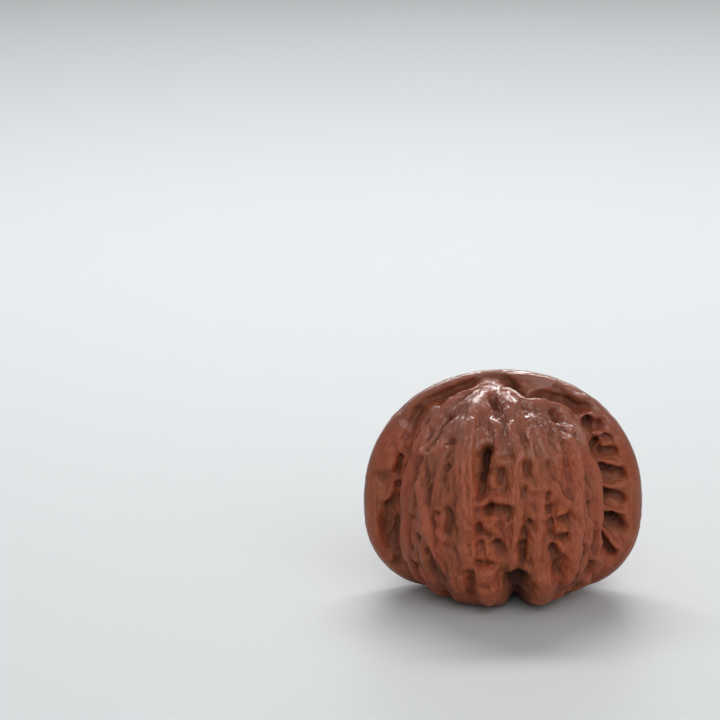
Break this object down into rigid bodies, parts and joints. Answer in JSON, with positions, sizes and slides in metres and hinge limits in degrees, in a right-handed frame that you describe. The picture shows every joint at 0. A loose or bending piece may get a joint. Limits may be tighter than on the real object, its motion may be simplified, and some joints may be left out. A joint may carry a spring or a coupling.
{
  "type": "walnut",
  "caption": "Whole walnut in its shell, with a wide smooth seam rim and deep lengthwise ribs and pits on both bellies, standing on its base.",
  "frame": {"origin": "on the table plane, under the middle of the nut's bounding box", "axes": "+Z from the base to the tip, X across the seam rim, -Y out of the belly that faces the viewer"},
  "size_m": [0.0446, 0.038, 0.036],
  "materials": {
    "shell": "red-brown nut shell with a soft hand-polished gloss"
  },
  "bodies": {
    "root": {"walnut": "shell"}
  },
  "joints": []
}
